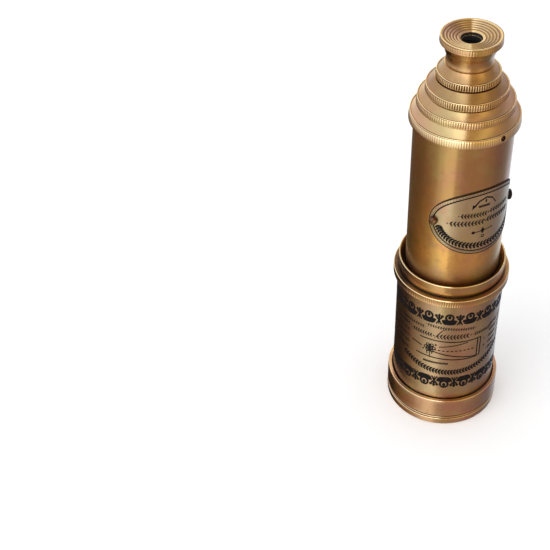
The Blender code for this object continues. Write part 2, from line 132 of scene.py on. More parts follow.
PLATE_AZIMUTH = 35.8
PLATE_HALF_WIDTH = 18.6
PLATE_HALF_HEIGHT = 13.0
PLATE_THICKNESS = 0.36
PLATE_FACE_RINGS = 10
PLATE_POINTS = 120
PLATE_EDGE = (  # inset from the plate's outline, drop below its face, wear_and_painted_light (-1 paints the edge's shadow)
    (0.35, 0.0, 0.0),
    (0.12, 0.0, 0.0),
    (0.035, 0.04, -1.0),
    (0.0, 0.14, -1.0),
    (0.0, PLATE_THICKNESS, -1.0),
)
PLATE_SCREW_OFFSET = 16.9
GRUB_SCREW_AZIMUTH = 44.5
GRUB_SCREW_RADIUS = 0.86

# ---- Etching ----
ETCH_LIFT = 0.035  # how far the black fill stands above the metal
ETCH_DEPTH = 0.09
ETCH_STEP = 0.42  # longest straight run of a wrapped line
MOTIFS = 16
MOTIF_HEIGHT = 5.2
FIRST_MOTIF = 3.8  # azimuth of one arch, degrees
UPPER_BAND = (49.4, 54.7)
LOWER_BAND = (17.7, 23.4)

# ---- Colours ----
# Colour of worn edges, which also paints their highlight.
WORN_AND_HIGHLIGHT = (0.95, 0.74, 0.38)
CLEAR_GOLD = (0.80, 0.45, 0.13)
OLIVE = (0.50, 0.42, 0.14)
ROSE = (0.58, 0.27, 0.17)
# Colour of the painted shade on the -X side, a dark reflection.
PAINTED_LEFT_SHADE = (0.115, 0.058, 0.034)
# Colour of grimy corners, which also paints the shade in corners and seams.
GRIME_AND_SHADE = (0.03, 0.016, 0.008)

# ---- Light ----
ROOM_STRENGTH = 1.06
SCREEN_STRENGTH = 1.0
HORIZON_STRIP = 1.6  # extra light from a low strip in front, which picks out the edges
# Screens well below the horizon, and the ones above them. A stop is the share of a turn, from
# behind the telescope past the viewer's left and round to behind it again, and the colour.
LOW_SCREENS = (
    (0.00, (0.50, 0.46, 0.44)),
    (0.03, (0.24, 0.20, 0.18)),
    (0.06, (0.16, 0.11, 0.09)),
    (0.11, (0.15, 0.10, 0.06)),
    (0.17, (0.19, 0.11, 0.05)),
    (0.24, (0.19, 0.11, 0.04)),
    (0.29, (0.32, 0.20, 0.10)),
    (0.34, (0.47, 0.36, 0.26)),
    (0.38, (0.76, 0.72, 0.64)),
    (0.42, (1.05, 1.02, 0.95)),
    (0.465, (1.10, 1.05, 0.98)),
    (0.485, (0.60, 0.50, 0.42)),
    (0.53, (0.52, 0.40, 0.37)),
    (0.62, (0.50, 0.38, 0.37)),
    (0.70, (0.38, 0.29, 0.30)),
    (0.77, (0.27, 0.22, 0.27)),
    (0.83, (0.28, 0.28, 0.38)),
    (0.89, (0.56, 0.66, 0.88)),
    (0.95, (0.80, 0.90, 1.10)),
    (1.00, (1.00, 1.02, 1.10)),
)
HIGH_SCREENS = (
    (0.00, (1.70, 1.70, 1.66)),
    (0.06, (1.25, 1.26, 1.32)),
    (0.13, (0.98, 1.02, 1.26)),
    (0.34, (1.14, 1.22, 1.52)),
    (0.41, (1.42, 1.54, 1.86)),
    (0.46, (1.85, 2.05, 2.45)),
    (0.505, (1.90, 2.05, 2.40)),
    (0.53, (0.62, 0.46, 0.25)),
    (0.58, (0.65, 0.49, 0.27)),
    (0.66, (0.92, 0.76, 0.48)),
    (0.72, (0.60, 0.46, 0.34)),
    (0.79, (0.45, 0.38, 0.40)),
    (0.87, (0.62, 0.62, 0.82)),
    (0.94, (0.55, 0.48, 0.52)),
    (0.99, (0.45, 0.36, 0.36)),
    (1.00, (0.45, 0.36, 0.36)),
)


@functools.cache
def node_size(node):
    """Outer radius, lowest height and highest height of a turned CAD node, in millimetres."""
    low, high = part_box(node)
    return high.x / MM, low.z / MM, high.z / MM


# ---- Node helpers ----
class Nodes:
    """A short way to add nodes to one tree and link them."""

    def __init__(self, tree):
        self.tree = tree

    def add(self, kind, inputs=(), **settings):
        """A new node, with its settings, and its sockets fed from pairs or a dictionary."""
        made = self.tree.nodes.new("ShaderNode" + kind)
        for key, value in settings.items():
            setattr(made, key, value)
        for socket, value in dict(inputs).items():
            self.feed(made, socket, value)
        return made

    def feed(self, node, socket, value):
        """Links a socket to another node's output, or sets it to a plain value."""
        if isinstance(value, bpy.types.NodeSocket):
            self.tree.links.new(value, node.inputs[socket])
        else:
            node.inputs[socket].default_value = value

    def maths(self, operation, a, b=0.0, clamp=False):
        return self.add("Math", {0: a, 1: b}, operation=operation, use_clamp=clamp).outputs[0]

    def plus(self, a, b):
        return self.maths("ADD", a, b)

    def minus(self, a, b):
        return self.maths("SUBTRACT", a, b)

    def times(self, a, b):
        return self.maths("MULTIPLY", a, b)

    def remap(self, value, low, high, to_low=0.0, to_high=1.0):
        """Eases a value from one range to another, held at the ends."""
        inputs = enumerate((value, low, high, to_low, to_high))
        return self.add("MapRange", inputs, interpolation_type="SMOOTHSTEP").outputs[0]

    def mix(self, factor, a, b):
        """From colour a at factor 0 to colour b at 1."""
        a, b = ((*colour, 1) if isinstance(colour, tuple) else colour for colour in (a, b))
        return self.add("Mix", {0: factor, 6: a, 7: b}, data_type="RGBA").outputs[2]

    def ramp(self, value, stops):
        """A colour ramp, eased between its (place, colour) stops."""
        made = self.add("ValToRGB", {0: value})
        made.color_ramp.interpolation = "EASE"
        elements = made.color_ramp.elements
        elements.remove(elements[1])
        (elements[0].position, first), *others = stops
        elements[0].color = (*first, 1)
        for place, colour in others:
            elements.new(place).color = (*colour, 1)
        return made.outputs[0]


class Shader(Nodes):
    """The nodes of one material, round its Principled BSDF."""

    def __init__(self, name):
        self.material = bpy.data.materials.new(name)
        self.material.use_nodes = True
        super().__init__(self.material.node_tree)
        self.surface = self.tree.nodes["Principled BSDF"]

    def place(self):
        """Object coordinates, in metres."""
        return self.add("TexCoord").outputs["Object"]

    def noise(self, stretch, detail=3.0, rough=0.55, distortion=0.0):
        """Noise with that many grains to a metre along X, Y and Z."""
        scaled = self.add("Mapping", {"Vector": self.place(), "Scale": stretch}).outputs[0]
        kind = {"Detail": detail, "Roughness": rough, "Distortion": distortion}
        return self.add("TexNoise", {"Vector": scaled, "Scale": 1.0, **kind}).outputs["Fac"]

    def bump(self, height, strength, distance):
        inputs = {"Strength": strength, "Distance": distance * MM, "Height": height}
        self.set(Normal=self.add("Bump", inputs).outputs[0])

    def set(self, **values):
        """Links or sets the surface's sockets, by name."""
        for key, value in values.items():
            self.feed(self.surface, key.replace("_", " "), value)


# ---- Materials ----
def brass(name, golden, brown, roughness, worn=WORN_AND_HIGHLIGHT, turned=True, tints=0.4, clear_band=None, painted_left_shade=None):
    """Antique brass: brown patina over gold, worn bright on edges and grimy in corners, which
    also paints highlights on the edges and shade in the corners.

    A turned piece has lathe lines round the Z axis. The wear_and_painted_light attribute is
    above 0 on worn edges, painted as lit, and below 0 in corners, painted as shaded. worn is
    the colour of worn edges and their painted highlight. clear_band gives three heights: the
    patina is clearest at the second one and full again at the others, and the metal is darker
    in a soft ring just below the first one. painted_left_shade gives two distances towards -X:
    where painted shade, a dark reflection on that side, starts and where it is full.
    """
    shader = Shader(name)
    # The wear_and_painted_light attribute: above 0 the metal is worn bright and painted as lit, below 0
    # it is grimy and painted as shaded.
    wear_and_painted_light = shader.add("Attribute", attribute_name="wear_and_painted_light").outputs["Fac"]
    bright = shader.remap(wear_and_painted_light, 0.05, 0.9)
    grime_and_shade = shader.remap(shader.times(wear_and_painted_light, -1.0), 0.05, 0.9)
    clouds = shader.noise((70, 70, 45), detail=4.0, distortion=0.6)
    patina = shader.times(shader.remap(clouds, 0.38, 0.68), 0.6)
    place = shader.add("SeparateXYZ", {0: shader.place()})
    if clear_band:
        height = place.outputs["Z"]
        clear = clearing(shader, height, *clear_band)
        golden = shader.mix(clear, golden, CLEAR_GOLD)
        patina = shader.times(patina, shader.minus(1.0, clear))
        grime_and_shade = shader.maths("MAXIMUM", grime_and_shade, dark_ring(shader, height, clear_band[0]))
    colour = shader.mix(patina, golden, brown)
    for stretch, tint in (((75, 95, 80), OLIVE), ((105, 70, 95), ROSE)):
        amount = shader.remap(shader.noise(stretch, detail=2.0), 0.5, 0.64)
        colour = shader.mix(shader.times(amount, tints), colour, tint)
    speckle = shader.remap(shader.noise((420, 420, 300), detail=5.0, rough=0.65), 0.5, 0.72)
    colour = shader.mix(shader.times(speckle, 0.35), colour, brown)
    # Painted shade: the -X side is darkened in patches, standing for a dark reflection on that side.
    if painted_left_shade:
        start, full = painted_left_shade
        side = shader.remap(place.outputs["X"], -start * MM, -full * MM, 0.0, 0.95)
        patches = shader.remap(clouds, 0.35, 0.6, 0.78, 1.0)
        colour = shader.mix(shader.times(side, patches), colour, PAINTED_LEFT_SHADE)
    # Worn edges take the worn colour with a painted highlight, and corners the grimy colour with painted
    # shade.
    colour = shader.mix(shader.times(bright, 0.9), colour, worn)
    colour = shader.mix(shader.times(grime_and_shade, 0.93), colour, GRIME_AND_SHADE)
    shader.set(Base_Color=colour, Metallic=1.0)

    scratches = brass_relief(shader, turned)
    dull = shader.times(shader.minus(clouds, 0.5), 0.22)
    streak = shader.times(shader.minus(scratches, 0.5), 0.16)
    rough = shader.plus(roughness, shader.plus(dull, streak))
    rough = shader.plus(rough, shader.times(grime_and_shade, 0.3))
    shader.set(Roughness=shader.maths("SUBTRACT", rough, shader.times(bright, 0.06), clamp=True))
    return shader.material


def clearing(shader, height, foot, middle, top):
    """How far the patina is cleared: 1 at the middle height, 0 at the top."""
    above = shader.remap(height, middle * MM, top * MM, 1.0, 0.0)
    below = shader.remap(height, foot * MM, middle * MM, -0.6, 0.0)
    return shader.plus(above, below)


def dark_ring(shader, height, middle):
    """A darker soft ring just below that height."""
    over = shader.remap(height, middle * MM, (middle + 5) * MM, 0.4, 0.0)
    under = shader.remap(height, (middle - 12) * MM, (middle - 2) * MM, 0.0, 0.4)
    return shader.maths("MINIMUM", over, under)


def brass_relief(shader, turned):
    """Fine lines and scratches, with a lathe's round sheen. Returns the scratches."""
    lines = shader.noise((60, 60, 9000) if turned else (900, 900, 9000), detail=2.0)
    scratches = shader.noise((160, 160, 2600), detail=3.0, rough=0.7)
    shader.bump(shader.plus(shader.times(lines, 0.6), scratches), 0.10, 0.05)
    if turned:
        tangent = shader.add("Tangent", direction_type="RADIAL", axis="Z").outputs[0]
        shader.set(Anisotropic=0.65, Anisotropic_Rotation=0.25, Tangent=tangent)
    return scratches


def enamel(name, colour, brown):
    """Black wax pressed into the etching, thin and brownish where it has worn off."""
    shader = Shader(name)
    rub = shader.remap(shader.noise((520, 520, 520), detail=4.0, rough=0.7), 0.56, 0.74)
    grain = shader.noise((6000, 6000, 6000), detail=2.0)
    shader.bump(grain, 0.2, 0.02)
    shader.set(Base_Color=shader.mix(rub, colour, brown), Metallic=0.0)
    shader.set(Roughness=shader.remap(grain, 0.2, 0.8, 0.38, 0.62), Specular_IOR_Level=0.12)
    return shader.material


def lacquer(name, colour):
    """Matt black paint inside the optical tubes, dusty in places."""
    shader = Shader(name)
    dust = shader.remap(shader.noise((900, 900, 900), detail=4.0), 0.55, 0.8, 0.0, 0.25)
    grain = shader.noise((7000, 7000, 7000), detail=2.0)
    shader.bump(grain, 0.25, 0.03)
    shader.set(Base_Color=shader.mix(dust, colour, (0.09, 0.08, 0.07)))
    shader.set(Roughness=shader.remap(grain, 0.2, 0.8, 0.6, 0.85))
    return shader.material


def glass(name):
    """Polished optical glass with a faint warm tint and a trace of dust."""
    shader = Shader(name)
    dust = shader.remap(shader.noise((1500, 1500, 1500), detail=5.0), 0.5, 0.8)
    shader.set(Base_Color=shader.mix(dust, (0.95, 0.98, 0.96), (0.88, 0.90, 0.86)))
    shader.set(Roughness=shader.remap(dust, 0.0, 1.0, 0.01, 0.06))
    shader.set(IOR=1.52, Transmission_Weight=1.0)
    return shader.material


def felt(name):
    """Dark wool felt: matted fibres with a soft sheen."""
    shader = Shader(name)
    fibre = shader.noise((3500, 3500, 1500), detail=6.0, rough=0.75, distortion=1.5)
    shader.bump(fibre, 0.8, 0.15)
    shader.set(Base_Color=shader.mix(fibre, (0.02, 0.015, 0.015), (0.09, 0.06, 0.05)))
    shader.set(Roughness=0.95, Sheen_Weight=0.4, Sheen_Roughness=0.5)
    return shader.material


def paper(name):
    """The pale floor."""
    shader = Shader(name)
    grain = shader.noise((300, 300, 300), detail=3.0)
    shader.set(Base_Color=shader.mix(grain, (0.93, 0.93, 0.94), (0.95, 0.95, 0.955)))
    shader.set(Roughness=0.9, Specular_IOR_Level=0.1)
    return shader.material


def make_finishes():
    """Every material, by the name that pieces ask for it. The record's slots are among them."""
    gold, brown = (0.58, 0.35, 0.135), (0.40, 0.21, 0.09)
    barrel = ((0.56, 0.33, 0.125), (0.42, 0.22, 0.10))
    ring = ((0.62, 0.38, 0.20), (0.44, 0.24, 0.14))
    sleeve = ((0.55, 0.40, 0.22), (0.37, 0.24, 0.135))
    plate = ((0.63, 0.49, 0.28), (0.43, 0.33, 0.19))
    screw = ((0.15, 0.058, 0.032), (0.05, 0.022, 0.014))
    return {
        "aged_brass": brass("antique_brass", gold, brown, 0.22),
        "barrel_brass": brass("barrel_brass", *barrel, 0.21, clear_band=(68, 77, 108)),
        # The slide collar and the sleeve carry painted shade on their -X side.
        "slide_brass": brass("slide_brass", gold, brown, 0.22, painted_left_shade=(12, 16)),
        "ring_brass": brass("ring_brass", *ring, 0.24, tints=0.5),
        "etched_brass": brass("sleeve_brass", *sleeve, 0.27, tints=0.35, painted_left_shade=(9.5, 15)),
        "plate_brass": brass("plate_brass", *plate, 0.30, turned=False),
        "screw_brass": brass("screw_copper", *screw, 0.30, worn=(0.38, 0.17, 0.10), turned=False),
        # A darker copy for the right-hand screw, which is like the left one: its black is painted shade
        # and dark reflection.
        "shaded_screw": enamel("screw_painted_shade", (0.012, 0.008, 0.007), (0.11, 0.06, 0.035)),
        "blackened_brass": lacquer("black_lacquer", (0.012, 0.011, 0.010)),
        "etching": enamel("etching_wax", (0.004, 0.003, 0.003), (0.05, 0.03, 0.016)),
        "optical_glass": glass("optical_glass"),
        "felt": felt("dark_felt"),
        "floor": paper("pale_floor"),
    }


# ---- Turned pieces ----
def signed_area(outline):
    """Twice an outline's area, above 0 when it runs anticlockwise."""
    return sum(a[0] * b[1] - b[0] * a[1] for a, b in zip(outline, outline[1:] + outline[:1]))


def rounded(profile):
    """Rounds a closed profile's corners. Returns radii, heights and the wear_and_painted_light value
    at every point.

    A corner is (radius, height), then its fillet, then its wear_and_painted_light value. Without
    a given value an outer corner gets 1, worn bright and painted as lit, and an inner one -1,
    grimy and painted as shaded, and the metal between corners gets 0.
    """
    corners = [(*c, *(FILLET, None)[len(c) - 2 :]) for c in profile]
    area = signed_area(corners)
    points = []
    for i, (r, z, fillet, worn) in enumerate(corners):
        here = Vector((r, z))
        before = Vector(corners[i - 1][:2]) - here
        after = Vector(corners[(i + 1) % len(corners)][:2]) - here
        shorter = min(before.length, after.length)
        cross = before.x * after.y - before.y * after.x
        before.normalize()
        after.normalize()
        turn = before.angle(-after)
        if fillet == 0 or turn < 0.12 or r == 0:
            points.append((r, z, worn or 0.0))
            continue
        back = min(fillet * math.tan(turn / 2), 0.42 * shorter)
        reach = min(back + WEAR_AND_LIGHT_REACH, 0.49 * shorter)
        if worn is None:
            worn = 1.0 if cross * area < 0 else -1.0
        fading = min(worn, 0.0) * 0.3
        start, end = here + before * back, here + after * back
        points.append((*(here + before * reach), fading))
        for t in (0.0, 0.33, 0.67, 1.0):
            curve = start * (1 - t) ** 2 + here * 2 * t * (1 - t) + end * t**2
            points.append((curve.x, curve.y, worn))
        points.append((*(here + after * reach), fading))
    return np.array(points)


def lathe(name, profile, segments=SEGMENTS, milling=None):
    """The mesh of a profile turned round Z. milling is (lowest, highest, least radius, depth).

    Points of the profile inside milling's heights and beyond its least radius carry a
    straight knurl. The wear_and_painted_light value is raised on its teeth, painted as lit, and
    lowered between them, painted as shade in the grooves.
    """
    points = rounded(profile)
    radii, heights, wear_and_painted_light = points.T
    depth = np.zeros(len(points))
    groove = np.zeros(segments)
    if milling:
        low, high, least, deepest = milling
        segments = MILLING_STEPS * round(2 * math.pi * radii.max() / MILLING_PITCH)
        groove = 1 - np.abs(np.sin(math.pi * np.arange(segments) / MILLING_STEPS)) ** 1.5
        depth[(heights > low - 0.01) & (heights < high + 0.01) & (radii > least)] = deepest
    angles = 2 * math.pi * np.arange(segments) / segments
    r = radii[:, None] - depth[:, None] * groove
    z = np.broadcast_to(heights[:, None], r.shape)
    coords = np.stack([r * np.sin(angles), -r * np.cos(angles), z], axis=-1) * MM
    # Knurl crests are painted lighter and the grooves darker, as painted highlight and painted shade.
    shade = wear_and_painted_light[:, None] + depth[:, None] / MILLING_DEPTH * (0.55 - 1.7 * groove)
    return ringed_mesh(name, coords, shade, radii.min() > 0, 50)


def ringed_mesh(name, coords, wear_and_painted_light, closed, crease):
    """A mesh of rings of points, joined each to the next and, if closed, the last to the first.

    coords and wear_and_painted_light have a row for each ring. crease is the angle in degrees
    from which an edge is sharp.
    """
    rows, around = wear_and_painted_light.shape
    faces = []
    for i in range(rows if closed else rows - 1):
        j = (i + 1) % rows
        for k in range(around):
            m = (k + 1) % around
            faces.append((i * around + k, i * around + m, j * around + m, j * around + k))
    mesh = bpy.data.meshes.new(name)
    mesh.from_pydata(coords.reshape(-1, 3).tolist(), [], faces)
    attribute = mesh.attributes.new("wear_and_painted_light", "FLOAT", "POINT")
    attribute.data.foreach_set("value", wear_and_painted_light.astype(np.float32).ravel())
    weld(mesh)
    mesh.shade_smooth()
    mesh.set_sharp_from_angle(angle=math.radians(crease))
    return mesh


def weld(mesh):
    """Merges points that lie on each other and turns every face outwards."""
    bm = bmesh.new()
    bm.from_mesh(mesh)
    bmesh.ops.remove_doubles(bm, verts=bm.verts, dist=1e-4 * MM)
    bmesh.ops.recalc_face_normals(bm, faces=bm.faces)
    bm.to_mesh(mesh)
    bm.free()


def place_piece(mesh, finish, body, slot_name, *stands_for):
    """Adds a mesh to the scene as a piece of one body, in place of its CAD nodes."""
    mesh.materials.append(finish)
    piece = bpy.data.objects.new(mesh.name, mesh)
    bpy.context.scene.collection.objects.link(piece)
    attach(piece, body)
    if stands_for:
        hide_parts(*stands_for)
    return piece


def turned(node, how, profile, finish, body, slot_name="aged_brass", milling=None):
    """The piece that stands for a turned CAD node, named after it and after how it is made."""
    mesh = lathe(f"{node}_{how}", profile, milling=milling)
    return place_piece(mesh, finish, body, slot_name, node)


def swept(steps, at):
    """A smooth stretch of a profile. at gives radius, height and wear_and_painted_light for a share of
    it.
    """
    points = [at(i / steps) for i in range(steps + 1)]
    return [(r, z, 0, wear_and_painted_light) for r, z, wear_and_painted_light in points]


def slope(start, end, hollow, wear_and_painted_light):
    """A turned slope between two corners, hollowed in the middle."""

    def at(t):
        sag = hollow * math.sin(math.pi * t)
        return start[0] + (end[0] - start[0]) * t, start[1] + (end[1] - start[1]) * t - sag, wear_and_painted_light

    return swept(7, at)


def bulge(radius, foot, top, sag, lean=0.0, wear_and_painted_light=None):
    """A rim's wall between two heights, bulging a little and leaning in towards its top."""

    def at(t):
        return radius - lean * t - sag * (1.7 * t - 0.7) ** 2, foot + (top - foot) * t, wear_and_painted_light

    return swept(5, at)


def make_tube(node, wall, finish, body, slot_name="aged_brass"):
    """A drawn tube, up to the collar or ring that closes it."""
    outer, foot, top = node_size(node)
    top += GAP
    profile = [(outer - wall, foot), (outer, foot), (outer, top), (outer - wall, top)]
    turned(node, "drawn", profile, finish, body, slot_name)


def make_collar(node, tube, wall, bore, slope_end, finish, body):
    """A collar screwed into a tube: milled rim, bead, groove and hollow slope. The groove, the line
    under the rim and the bore's edge are painted as shade, and the bead as a highlight.

    Returns the piece, and its rim as (radius, lowest height, highest height).
    """
    rim_height, hollow, depth, lean, wear_and_painted_light, slope_wear_and_painted_light = COLLARS[node]
    radius, spigot_foot, _ = node_size(node)
    spigot = node_size(tube)[0] - wall - THREAD_PLAY
    foot = node_size(tube)[2] + GAP
    top = foot + rim_height
    bead = radius - lean
    profile = [
        (bore, spigot_foot),
        (spigot, spigot_foot),
        (spigot, foot, 0.05),
        (radius - 0.35, foot, 0.05, -1),
        (radius - 0.12, foot + 0.06, 0.04, -0.5),
        *bulge(radius, foot + 0.18, top - 0.5, 0.08, lean, wear_and_painted_light),
        (bead - 0.16, top - 0.42, 0, -0.5),
        (bead - 0.08, top - 0.34, 0, 0.7),
        (bead - 0.08, top, 0.15, 1),
        (bead - 0.40, top, 0.1, 0.8),
        (bead - 0.52, top - 0.1, 0.06, -0.5),
        *slope((bead - 0.72, top + 0.02), slope_end, hollow, slope_wear_and_painted_light),
        (slope_end[0] - 0.2, slope_end[1], 0.1, 0.6),
        (bore + 0.25, slope_end[1], 0.08, -1),
        (bore, slope_end[1] - 0.3, 0, -1),
    ]
    band = (foot + 0.18, top - 0.5, bead - 0.1, depth)
    return turned(node, "milled", profile, finish, body, milling=band), (radius, foot, top)


def make_barrel_and_draws(finishes):
    """The tubes, and the stepped collars that each of them slides in."""
    brass_finish = finishes["aged_brass"]
    for body, wall, tube_finish, inner in (
        ("barrel", BARREL_WALL, finishes["barrel_brass"], "draw_1_tube"),
        ("draw_1", DRAW_WALL, brass_finish, "draw_2_tube"),
        ("draw_2", DRAW_WALL, brass_finish, "draw_3_tube"),
    ):
        tube, collar = body + "_tube", body + "_collar"
        make_tube(tube, wall, tube_finish, body)
        bore = node_size(inner)[0] + SLIDE_PLAY
        slope_end = (bore + LIP_WIDTH, node_size(collar)[2])
        piece, rim = make_collar(collar, tube, wall, bore, slope_end, brass_finish, body)
        if body == "barrel":
            sink_grub_screw(piece, rim, finishes)
    make_tube("draw_3_tube", DRAW_WALL, brass_finish, "draw_3")


def radial(azimuth, radius, height):
    """A matrix whose Z points out from the axis at that place, with Y up."""
    a = math.radians(azimuth)
    out = Vector((math.sin(a), -math.cos(a), 0))
    along = Vector((math.cos(a), math.sin(a), 0))
    turn = Matrix((along, (0, 0, 1), out)).transposed().to_4x4()
    return Matrix.Translation(out * radius * MM + Vector((0, 0, height * MM))) @ turn


def cut(piece, cutter):
    """Cuts a closed mesh out of a piece and applies the cut."""
    tool = bpy.data.objects.new("cutter", cutter)
    bpy.context.scene.collection.objects.link(tool)
    modifier = piece.modifiers.new("cut", "BOOLEAN")
    modifier.operation = "DIFFERENCE"
    modifier.object = tool
    graph = bpy.context.evaluated_depsgraph_get()
    made = bpy.data.meshes.new_from_object(piece.evaluated_get(graph))
    piece.modifiers.clear()
    piece.data = made
    bpy.data.objects.remove(tool)


def darken_hole(piece, finish, place, radius, *spans):
    """Gives a hole's wall its own finish, between pairs of heights along place's Z axis."""
    piece.data.materials.append(finish)
    back = place.inverted()
    for face in piece.data.polygons:
        centre = (back @ face.center) / MM
        within = math.hypot(centre.x, centre.y) < radius
        if within and any(low < centre.z < high for low, high in spans):
            face.material_index = 1


def fit_screw(node, profile, segments, place, finish, slot_box, slot_height, slot_turn):
    """Sets a turned screw in the barrel and saws its slot, a box with its middle at that height."""
    mesh = lathe(node + "_slotted", profile, segments)
    mesh.transform(place)
    piece = place_piece(mesh, finish, "barrel", "screw_brass", node)
    slot = bpy.data.meshes.new(node + "_slot")
    bm = bmesh.new()
    bmesh.ops.create_cube(bm, size=1)
    bmesh.ops.scale(bm, vec=Vector(slot_box) * MM, verts=bm.verts)
    bm.to_mesh(slot)
    bm.free()
    turn = Matrix.Rotation(math.radians(slot_turn), 4, "Z")
    slot.transform(place @ turn @ Matrix.Translation((0, 0, slot_height * MM)))
    cut(piece, slot)


def sink_grub_screw(collar, rim, finishes):
    """Drills the milled rim for its locking screw and sets the slotted screw in it."""
    radius, foot, top = rim
    place = radial(GRUB_SCREW_AZIMUTH, radius, (foot + top) / 2)
    wall = GRUB_SCREW_RADIUS
    hole = lathe("grub_hole", [(0, -1.2), (wall, -1.2), (wall, 1), (0, 1)], GRUB_SEGMENTS)
    hole.transform(place)
    cut(collar, hole)
    # Painted shade: the drilled hole's brass wall takes the black etching finish.
    darken_hole(collar, finishes["etching"], place, wall + 0.01, (-1.5, 1.5))
    edge = wall - 0.28
    profile = [(0, -2.4, 0), (edge, -2.4), (edge, -0.2, 0.1, 0), (0, -0.2, 0)]
    finish = finishes["screw_brass"]
    fit_screw("collar_grub_screw", profile, GRUB_SEGMENTS, place, finish, (3.0, 0.26, 0.5), -0.3, 35)


def make_eyepiece(finishes):
    """The eyepiece's milled base and its flared cup with the ridged dish."""
    finish = finishes["aged_brass"]
    bore = node_size("eye_tube")[0] + THREAD_PLAY
    slope_end = (NECK_RADIUS + 0.3, node_size("eyepiece_base")[2] + 0.1)
    make_collar("eyepiece_base", "draw_3_tube", DRAW_WALL, bore, slope_end, finish, "eyepiece")

    disc, foot, top = node_size("eyecup")
    disc_foot = top - DISC_THICKNESS
    inner_floor = top - EYE_TUBE_ROOM
    hole = EYE_HOLE_RADIUS
    # The neck's foot, the disc's underside and the eye hole's wall are painted as shade; the rim's top
    # and the hole's upper edge as highlights.
    profile = [
        (bore, foot - 0.2, 0),
        (NECK_RADIUS - 0.07, foot - 0.2, 0.05, -1),
        *flared_neck(foot, disc_foot),
        (disc - 0.2, disc_foot, 0.05, -1),
        (disc - 0.03, disc_foot + 0.1, 0.05, 0.1),
        *bulge(disc, disc_foot + 0.25, top - 0.3, 0.04, 0.14, 0.15),
        (disc - 0.14, top - 0.02, 0.14, 1),
        (disc - 0.54, top, 0.1, 0.9),
        *ridged_dish(disc - 0.85, top - 0.3),
        (hole + 0.25, top - 1.22, 0.1, 0.8),
        (hole, top - 1.45, 0.08, -1.5),
        (hole, top - 2.2, 0, -1.5),
        (hole - 0.2, top - 2.22, 0.04, 0.6),
        (hole - 0.2, inner_floor, 0.05),
        (bore, inner_floor, 0.05),
    ]
    band = (disc_foot + 0.25, top - 0.3, disc - 0.2, 0.05)
    cup = turned("eyecup", "ridged", profile, finish, "eyepiece", milling=band)
    dark = ((inner_floor - 0.4, top - 2.26), (top - 2.15, top - 1.48))
    darken_hole(cup, finishes["blackened_brass"], Matrix(), hole + 0.05, *dark)


def flared_neck(foot, top):
    """The eyecup's neck, which narrows a little and then flares out to its disc."""

    def at(t):
        waist = 0.22 * math.sin(math.pi * min(1, t * 1.6))
        return NECK_RADIUS - waist + 1.45 * t**2.3, foot + (top - foot) * t, None

    return swept(14, at)


def ridged_dish(edge, top):
    """The dish with its round ridges, from its edge in towards the eye hole."""

    def at(t):
        ridge = 1 - abs(math.sin(math.pi * DISH_RIDGES * t)) ** 0.8
        height = top - DISH_DROP * t + DISH_RIDGE_HEIGHT * ridge
        # Ridges are painted as lit and valleys as shaded.
        return edge - (edge - DISH_INNER_RADIUS) * t, height, 1.45 * ridge - 0.55

    return swept(DISH_RIDGES * 8, at)


def make_sleeve(finishes):
    make_tube("shade_sleeve", SLEEVE_WALL, finishes["etched_brass"], "sunshade", "etched_brass")


def make_end_ring(finishes):
    """The heavy ring at the sleeve's front end, with a groove round its foot."""
    ring, low, high = node_size("shade_end_ring")
    sleeve, foot, _ = node_size("shade_sleeve")
    shelf = node_size("dust_cap")[2] + 1.4
    # Values below 0 paint shade into the groove round the foot and the seam with the sleeve; the top
    # edge's value paints its highlight.
    profile = [
        (END_RING_BORE, low, 0.1),
        (ring - 0.4, low, 0.05, -1.3),
        (ring - 0.1, low + 0.12, 0.06, 0),
        (ring, low + 0.4, 0.1, 0.5),
        (ring, low + 0.7, 0.1, 0.3),
        (ring - 0.26, low + 0.92, 0.03, -1.4),
        (ring - 0.26, low + 1.3, 0.03, -1.4),
        (ring, low + 1.5, 0.05, 0.5),
        *bulge(ring, low + 1.9, high - 0.4, 0.09),
        (ring - 0.2, high, 0.1, 0.7),
        (sleeve + 0.5, high, 0.08, 0.2),
        (sleeve + 0.42, high - 0.12, 0, -1.3),
        (sleeve + 0.3, high - 0.8, 0, -1.5),
        (sleeve + 0.06, high - 0.9, 0, -1.5),
        (sleeve + 0.06, foot, 0),
        (sleeve + 0.12, shelf, 0.05),
        (END_RING_BORE, shelf, 0.05),
    ]
    turned("shade_end_ring", "turned", profile, finishes["ring_brass"], "sunshade")


def make_flange(finishes):
    """The narrow milled flange at the sleeve's rear end."""
    sleeve = node_size("shade_sleeve")[0]
    flange, foot, top = node_size("shade_flange_ring")
    # The foot's corner is painted as shade, and the top edge as a highlight.
    profile = [
        (FLANGE_BORE, foot, 0),
        (sleeve + 0.1, foot, 0, -1.2),
        (flange - 0.3, foot, 0.05, -0.8),
        (flange, foot + 0.25, 0.1, 0.2),
        (flange, foot + 0.4, 0),
        (flange, top - 0.58, 0),
        (flange, top, 0.22, 1),
        (flange - 0.45, top, 0.12, 0.7),
        (flange - 0.6, top - 0.1, 0.05, -0.4),
        (FLANGE_BORE, top - 0.1, 0, -1),
    ]
    band = (foot + 0.4, top - 0.58, flange - 0.02, 0.09)
    finish = finishes["slide_brass"]
    mesh = lathe("shade_flange_milled", profile, milling=band)
    place_piece(mesh, finish, "sunshade", "aged_brass", "shade_flange_ring")


